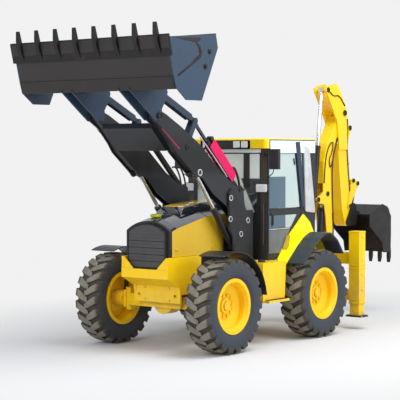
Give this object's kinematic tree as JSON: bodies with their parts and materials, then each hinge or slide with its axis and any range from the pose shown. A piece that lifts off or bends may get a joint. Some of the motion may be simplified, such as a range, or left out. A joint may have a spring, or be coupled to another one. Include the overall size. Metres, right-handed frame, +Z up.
{
  "type": "backhoe loader",
  "caption": "Backhoe loader with a raised front bucket on two arms, a cab, and a folded rear hoe on a side-shift frame with stabilizers.",
  "frame": {"origin": "bottom centre of the machine's bounding box, on the ground", "axes": "+X forward, +Y to the machine's left, +Z up"},
  "size_m": [7.5859, 2.824, 4.4765],
  "materials": {
    "yellow_paint": "gloss enamel",
    "dark_paint": "gloss enamel",
    "slate_paint": "satin enamel, worn",
    "crimson_paint": "gloss enamel",
    "orange_yellow_paint": "gloss enamel",
    "worn_steel": "worn bare",
    "chrome_rod": "polished",
    "tyre_rubber": "matte",
    "clear_glass": "clear",
    "grey_plastic": "matte",
    "seat_fabric": "woven",
    "lamp_plastic": "gloss"
  },
  "bodies": {
    "chassis": {"main_frame": "yellow_paint", "side_tanks": "yellow_paint", "engine_block": "worn_steel", "front_axle": "yellow_paint", "rear_axle": "yellow_paint", "loader_towers": "dark_paint", "cab_frame": "dark_paint", "cab_roof": "yellow_paint", "cab_glass": "clear_glass", "rear_fenders": "yellow_paint", "seat": "seat_fabric", "steering_console": "grey_plastic", "cab_lamps": "lamp_plastic", "mirrors": "dark_paint", "exhaust": "dark_paint", "rear_frame": "yellow_paint"},
    "hood": {"hood_panels": "yellow_paint", "hood_cover": "dark_paint", "grille": "dark_paint"},
    "door_left": {"door_left": "dark_paint", "door_left_glass": "clear_glass"},
    "door_right": {"door_right": "dark_paint", "door_right_glass": "clear_glass"},
    "knuckle_left": {"knuckle_front_left": "yellow_paint", "fender_front_left": "dark_paint"},
    "knuckle_right": {"knuckle_front_right": "yellow_paint", "fender_front_right": "dark_paint"},
    "wheel_front_left": {"rim_front_left": "orange_yellow_paint", "tyre_front_left": "tyre_rubber"},
    "wheel_front_right": {"rim_front_right": "orange_yellow_paint", "tyre_front_right": "tyre_rubber"},
    "wheel_rear_left": {"rim_rear_left": "orange_yellow_paint", "tyre_rear_left": "tyre_rubber"},
    "wheel_rear_right": {"rim_rear_right": "orange_yellow_paint", "tyre_rear_right": "tyre_rubber"},
    "loader_arms": {"loader_arms": "dark_paint", "service_strut": "crimson_paint"},
    "lift_barrels": {"lift_barrels": "dark_paint"},
    "lift_rods": {"lift_rods": "chrome_rod"},
    "tilt_barrels": {"tilt_barrels": "dark_paint"},
    "tilt_rods": {"tilt_rods": "chrome_rod"},
    "tilt_levers": {"tilt_levers": "dark_paint"},
    "tilt_links": {"tilt_links": "dark_paint"},
    "loader_bucket": {"loader_bucket": "slate_paint", "bucket_teeth": "worn_steel"},
    "carriage": {"carriage": "yellow_paint"},
    "swing_post": {"swing_post": "yellow_paint"},
    "boom": {"boom": "yellow_paint"},
    "boom_barrel": {"boom_barrel": "dark_paint"},
    "boom_rod": {"boom_rod": "chrome_rod"},
    "dipper": {"dipper": "yellow_paint"},
    "dipper_barrel": {"dipper_barrel": "dark_paint"},
    "dipper_rod": {"dipper_rod": "chrome_rod"},
    "tipping_lever": {"tipping_lever": "yellow_paint"},
    "bucket_link": {"bucket_link": "dark_paint"},
    "curl_barrel": {"curl_barrel": "dark_paint"},
    "curl_rod": {"curl_rod": "chrome_rod"},
    "hoe_bucket": {"hoe_bucket": "worn_steel"},
    "stabilizer_left": {"stabilizer_left": "yellow_paint"},
    "stabilizer_right": {"stabilizer_right": "yellow_paint"}
  },
  "joints": [
    {"name": "steer_left", "type": "hinge", "parent": "chassis", "child": "knuckle_left", "pos_m": [1.989, 0.735, 0.668], "axis": [0, 0, 1], "range_deg": [-18, 18]},
    {"name": "steer_right", "type": "hinge", "parent": "chassis", "child": "knuckle_right", "pos_m": [1.989, -0.735, 0.668], "axis": [0, 0, 1], "range_deg": [-18, 18]},
    {"name": "spin_front_left", "type": "hinge", "parent": "knuckle_left", "child": "wheel_front_left", "pos_m": [1.989, 1.003, 0.668], "axis": [0, 1, 0], "continuous": true},
    {"name": "spin_front_right", "type": "hinge", "parent": "knuckle_right", "child": "wheel_front_right", "pos_m": [1.989, -1.003, 0.668], "axis": [0, 1, 0], "continuous": true},
    {"name": "spin_rear_left", "type": "hinge", "parent": "chassis", "child": "wheel_rear_left", "pos_m": [-0.339, 1.003, 0.668], "axis": [0, 1, 0], "continuous": true},
    {"name": "spin_rear_right", "type": "hinge", "parent": "chassis", "child": "wheel_rear_right", "pos_m": [-0.339, -1.003, 0.668], "axis": [0, 1, 0], "continuous": true},
    {"name": "hood_hinge", "type": "hinge", "parent": "chassis", "child": "hood", "pos_m": [0.719, 0, 1.885], "axis": [0, -1, 0], "range_deg": [0, 50]},
    {"name": "door_left_hinge", "type": "hinge", "parent": "chassis", "child": "door_left", "pos_m": [-0.32463, 0.764, 2], "axis": [0.258, 0, 0.9661], "range_deg": [0, 75]},
    {"name": "door_right_hinge", "type": "hinge", "parent": "chassis", "child": "door_right", "pos_m": [-0.32463, -0.764, 2], "axis": [-0.258, 0, -0.9661], "range_deg": [0, 75]},
    {"name": "arm_lift", "type": "hinge", "parent": "chassis", "child": "loader_arms", "pos_m": [0.879, 0, 1.81], "axis": [0, -1, 0], "range_deg": [-67.5, 0]},
    {"name": "lift_barrel_pivot", "type": "hinge", "parent": "chassis", "child": "lift_barrels", "pos_m": [1.109, 0, 1.415], "axis": [0, -1, 0], "range_deg": [-70.12, 0]},
    {"name": "lift_rod_slide", "type": "slide", "parent": "lift_barrels", "child": "lift_rods", "axis": [0.6295, 0, 0.777], "range_m": [-0.5146, 0]},
    {"name": "bucket_tilt", "type": "hinge", "parent": "loader_arms", "child": "loader_bucket", "pos_m": [2.95, 0, 3.306], "axis": [0, 1, 0], "range_deg": [0, 92]},
    {"name": "lever_pivot", "type": "hinge", "parent": "loader_arms", "child": "tilt_levers", "pos_m": [2.289, 0, 2.88], "axis": [0, 1, 0], "range_deg": [0, 57.43]},
    {"name": "link_pivot", "type": "hinge", "parent": "tilt_levers", "child": "tilt_links", "pos_m": [2.06, 0, 3.254], "axis": [0, 1, 0], "range_deg": [-45.61, 0]},
    {"name": "tilt_barrel_pivot", "type": "hinge", "parent": "loader_arms", "child": "tilt_barrels", "pos_m": [1.019, 0, 2.27], "axis": [0, 1, 0], "range_deg": [0, 8.38]},
    {"name": "tilt_rod_slide", "type": "slide", "parent": "tilt_barrels", "child": "tilt_rods", "axis": [0.7267, 0, 0.6869], "range_m": [0, 0.3611]},
    {"name": "carriage_shift", "type": "slide", "parent": "chassis", "child": "carriage", "axis": [0, 1, 0], "range_m": [-0.55, 0.55]},
    {"name": "hoe_swing", "type": "hinge", "parent": "carriage", "child": "swing_post", "pos_m": [-2.031, 0, 0.86], "axis": [0, 0, 1], "range_deg": [-90, 90]},
    {"name": "boom_lift", "type": "hinge", "parent": "swing_post", "child": "boom", "pos_m": [-2.291, 0, 0.95], "axis": [0, -1, 0], "range_deg": [0, 60]},
    {"name": "boom_barrel_pivot", "type": "hinge", "parent": "swing_post", "child": "boom_barrel", "pos_m": [-2.071, 0, 1.33], "axis": [0, -1, 0], "range_deg": [0, 71.76]},
    {"name": "boom_rod_slide", "type": "slide", "parent": "boom_barrel", "child": "boom_rod", "axis": [-0.1256, 0, 0.9921], "range_m": [0, 0.4026]},
    {"name": "dipper_swing", "type": "hinge", "parent": "boom", "child": "dipper", "pos_m": [-2.651, 0, 3.48], "axis": [0, 1, 0], "range_deg": [0, 62]},
    {"name": "dipper_barrel_pivot", "type": "hinge", "parent": "boom", "child": "dipper_barrel", "pos_m": [-1.886, 0, 2.03], "axis": [0, 1, 0], "range_deg": [0, 2.84]},
    {"name": "dipper_rod_slide", "type": "slide", "parent": "dipper_barrel", "child": "dipper_rod", "axis": [-0.1334, 0, 0.9911], "range_m": [-0.6661, 0]},
    {"name": "hoe_curl", "type": "hinge", "parent": "dipper", "child": "hoe_bucket", "pos_m": [-2.781, 0, 1.63], "axis": [0, -1, 0], "range_deg": [0, 70]},
    {"name": "tipping_lever_pivot", "type": "hinge", "parent": "dipper", "child": "tipping_lever", "pos_m": [-2.821, 0, 1.9], "axis": [0, -1, 0], "range_deg": [0, 58.43]},
    {"name": "bucket_link_pivot", "type": "hinge", "parent": "tipping_lever", "child": "bucket_link", "pos_m": [-3.081, 0, 2.28], "axis": [0, -1, 0], "range_deg": [-47.18, 0]},
    {"name": "curl_barrel_pivot", "type": "hinge", "parent": "dipper", "child": "curl_barrel", "pos_m": [-2.831, 0, 3.23], "axis": [0, -1, 0], "range_deg": [-15.66, 0]},
    {"name": "curl_rod_slide", "type": "slide", "parent": "curl_barrel", "child": "curl_rod", "axis": [-0.1213, 0, -0.9926], "range_m": [0, 0.339]},
    {"name": "stabilizer_left_slide", "type": "slide", "parent": "chassis", "child": "stabilizer_left", "axis": [0, 0, 1], "range_m": [-0.45, 0]},
    {"name": "stabilizer_right_slide", "type": "slide", "parent": "chassis", "child": "stabilizer_right", "axis": [0, 0, 1], "range_m": [-0.45, 0]}
  ],
  "couplings": [
    {"joint": "steer_right", "follows": "steer_left", "ratio": 1},
    {"joint": "lift_barrel_pivot", "follows": "arm_lift", "ratio": 1.0314},
    {"joint": "lift_rod_slide", "follows": "arm_lift", "m_per_rad": 0.43515},
    {"joint": "lever_pivot", "follows": "bucket_tilt", "ratio": 0.6188},
    {"joint": "link_pivot", "follows": "bucket_tilt", "ratio": -0.4903},
    {"joint": "tilt_barrel_pivot", "follows": "bucket_tilt", "ratio": 0.0857},
    {"joint": "tilt_rod_slide", "follows": "bucket_tilt", "m_per_rad": 0.22364},
    {"joint": "boom_barrel_pivot", "follows": "boom_lift", "ratio": 1.1876},
    {"joint": "boom_rod_slide", "follows": "boom_lift", "m_per_rad": 0.38252},
    {"joint": "dipper_barrel_pivot", "follows": "dipper_swing", "ratio": 0.0378},
    {"joint": "dipper_rod_slide", "follows": "dipper_swing", "m_per_rad": -0.61375},
    {"joint": "tipping_lever_pivot", "follows": "hoe_curl", "ratio": 0.8275},
    {"joint": "bucket_link_pivot", "follows": "hoe_curl", "ratio": -0.6668},
    {"joint": "curl_barrel_pivot", "follows": "hoe_curl", "ratio": -0.2166},
    {"joint": "curl_rod_slide", "follows": "hoe_curl", "m_per_rad": 0.27582}
  ]
}
